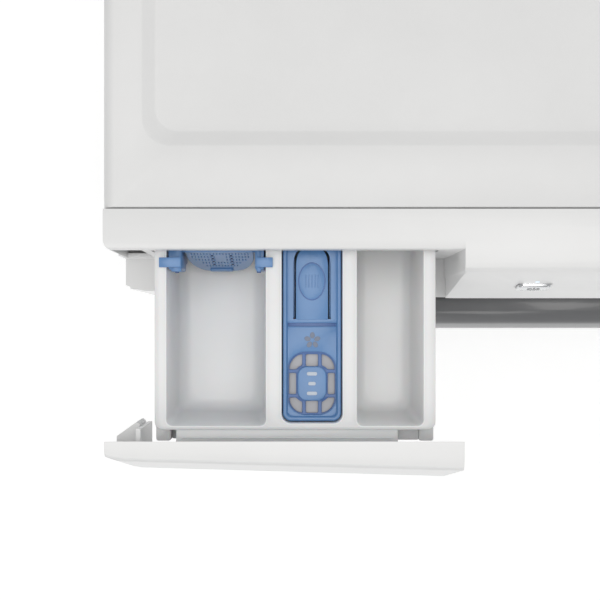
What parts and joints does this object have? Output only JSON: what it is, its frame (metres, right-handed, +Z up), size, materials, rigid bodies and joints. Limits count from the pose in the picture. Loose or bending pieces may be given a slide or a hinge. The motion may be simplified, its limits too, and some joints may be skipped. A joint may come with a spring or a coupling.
{
  "type": "front load washing machine",
  "caption": "Free-standing front load washing machine: round hinged door, sprung tub and belt-driven drum, control panel, and a detergent drawer drawn open at the top left.",
  "frame": {"origin": "on the floor, under the middle of the machine's plan outline with the detergent drawer drawn open", "axes": "+X to the machine's right seen from its front, +Y to the back (the front looks along -Y), +Z up"},
  "size_m": [0.6, 0.6704, 0.85],
  "materials": {
    "white_metal": "smooth white enamel",
    "white_plastic": "smooth white moulding",
    "dark_moulding": "black moulded plastic",
    "zinc_steel": "zinc plated steel",
    "drum_steel": "bright stainless sheet",
    "cast_alloy": "as-cast alloy",
    "copper_motor": "alloy end caps round the windings",
    "tub_plastic": "filled grey plastic",
    "concrete": "cast concrete",
    "hose_rubber": "black rubber",
    "gasket_rubber": "grey door seal rubber",
    "door_plastic": "dark grey moulding",
    "door_glass": "clear pressed glass",
    "tray_plastic": "light grey moulding",
    "blue_plastic": "translucent blue moulding",
    "grey_plastic": "grey moulding",
    "window_plastic": "dark display window",
    "board": "green circuit board",
    "trim_metal": "satin metal trim"
  },
  "bodies": {
    "cabinet": {"base_frame": "dark_moulding", "cabinet_shell": "white_metal", "rear_service_cover": "zinc_steel", "front_panel": "white_metal", "worktop": "white_plastic", "control_panel": "white_plastic", "drain_pump": "grey_plastic", "inlet_valve": "grey_plastic", "fill_hose": "hose_rubber", "dispenser_housing": "tray_plastic", "drain_outlet": "hose_rubber", "mains_gland": "dark_moulding", "control_board": "board", "display_window": "window_plastic", "door_lock": "dark_moulding", "door_gasket": "gasket_rubber", "hinge_bracket": "zinc_steel", "damper_cylinder_left": "grey_plastic", "damper_cylinder_right": "grey_plastic"},
    "tub": {"tub_front": "tub_plastic", "tub_rear": "tub_plastic", "counterweight_front": "concrete", "counterweight_top": "concrete", "motor": "copper_motor", "heater": "zinc_steel", "bearing_front": "zinc_steel", "bearing_rear": "zinc_steel", "damper_rod_left": "dark_moulding", "damper_rod_right": "dark_moulding", "spring_left": "zinc_steel", "spring_right": "zinc_steel", "belt": "hose_rubber", "sump_hose": "hose_rubber"},
    "drum": {"drum_shell": "drum_steel", "drum_spider": "cast_alloy", "drum_lifter_1": "tray_plastic", "drum_lifter_2": "tray_plastic", "drum_lifter_3": "tray_plastic", "drum_pulley": "cast_alloy"},
    "rotor": {"motor_pulley": "zinc_steel"},
    "door": {"door_frame": "door_plastic", "door_rear_frame": "door_plastic", "door_glass": "door_glass"},
    "latch": {"latch_hook": "zinc_steel"},
    "drawer": {"drawer_tray": "tray_plastic", "drawer_front": "white_plastic", "siphon_insert": "blue_plastic", "flap_holder": "blue_plastic"},
    "release": {"release_tongue": "blue_plastic"},
    "flap": {"flap_plate": "blue_plastic"},
    "filter_door": {"filter_flap": "white_plastic"},
    "filter": {"filter_cap": "grey_plastic"},
    "knob": {"programme_knob": "trim_metal"},
    "power": {"button_power": "trim_metal"},
    "options": {"button_options": "trim_metal"},
    "start_pause": {"button_start_pause": "trim_metal"},
    "foot_front_left": {"foot_1": "dark_moulding"},
    "foot_rear_left": {"foot_2": "dark_moulding"},
    "foot_front_right": {"foot_3": "dark_moulding"},
    "foot_rear_right": {"foot_4": "dark_moulding"}
  },
  "joints": [
    {"name": "drawer_slide", "type": "slide", "parent": "cabinet", "child": "drawer", "axis": [0, -1, 0], "range_m": [-0.0948, 0]},
    {"name": "release_press", "type": "hinge", "parent": "drawer", "child": "release", "pos_m": [-0.1968, -0.24615, 0.8308], "axis": [-1, 0, 0], "range_deg": [0, 3], "stiffness_Nm_per_rad": 2},
    {"name": "flap_hinge", "type": "hinge", "parent": "drawer", "child": "flap", "pos_m": [-0.2433, -0.21225, 0.832], "axis": [-1, 0, 0], "range_deg": [0, 80]},
    {"name": "door_hinge", "type": "hinge", "parent": "cabinet", "child": "door", "pos_m": [-0.224, -0.23875, 0.44], "axis": [0, 0, -1], "range_deg": [0, 140]},
    {"name": "latch_pivot", "type": "hinge", "parent": "door", "child": "latch", "pos_m": [0.19, -0.2245, 0.44], "axis": [0, 0, 1], "range_deg": [0, 5], "stiffness_Nm_per_rad": 0.5},
    {"name": "tub_suspension", "type": "slide", "parent": "cabinet", "child": "tub", "axis": [0, 0, 1], "range_m": [-0.01, 0.01], "stiffness_N_per_m": 12000, "springref_m": 0.0285, "deforming": ["spring_left", "spring_right", "sump_hose", "fill_hose", "door_gasket"]},
    {"name": "drum_spin", "type": "hinge", "parent": "tub", "child": "drum", "pos_m": [0, 0.1, 0.44], "axis": [0, 1, 0], "continuous": true},
    {"name": "motor_spin", "type": "hinge", "parent": "tub", "child": "rotor", "pos_m": [0.06, 0.1, 0.1216], "axis": [0, 1, 0], "continuous": true},
    {"name": "filter_flap_hinge", "type": "hinge", "parent": "cabinet", "child": "filter_door", "pos_m": [0.205, -0.22955, 0.059], "axis": [1, 0, 0], "range_deg": [0, 100]},
    {"name": "filter_turn", "type": "hinge", "parent": "cabinet", "child": "filter", "pos_m": [0.205, -0.2, 0.097], "axis": [0, -1, 0], "range_deg": [0, 90]},
    {"name": "programme_turn", "type": "hinge", "parent": "cabinet", "child": "knob", "pos_m": [0, -0.22936, 0.802], "axis": [0, -0.9924, 0.1233], "continuous": true},
    {"name": "power_press", "type": "slide", "parent": "cabinet", "child": "power", "axis": [0, 0.9924, -0.1233], "range_m": [0, 0.0015], "stiffness_N_per_m": 800},
    {"name": "options_press", "type": "slide", "parent": "cabinet", "child": "options", "axis": [0, 0.9924, -0.1233], "range_m": [0, 0.0015], "stiffness_N_per_m": 800},
    {"name": "start_pause_press", "type": "slide", "parent": "cabinet", "child": "start_pause", "axis": [0, 0.9924, -0.1233], "range_m": [0, 0.0015], "stiffness_N_per_m": 800},
    {"name": "foot_front_left_level", "type": "slide", "parent": "cabinet", "child": "foot_front_left", "axis": [0, 0, -1], "range_m": [0, 0.012]},
    {"name": "foot_rear_left_level", "type": "slide", "parent": "cabinet", "child": "foot_rear_left", "axis": [0, 0, -1], "range_m": [0, 0.012]},
    {"name": "foot_front_right_level", "type": "slide", "parent": "cabinet", "child": "foot_front_right", "axis": [0, 0, -1], "range_m": [0, 0.012]},
    {"name": "foot_rear_right_level", "type": "slide", "parent": "cabinet", "child": "foot_rear_right", "axis": [0, 0, -1], "range_m": [0, 0.012]}
  ],
  "couplings": [
    {"joint": "motor_spin", "follows": "drum_spin", "ratio": 11.667}
  ]
}
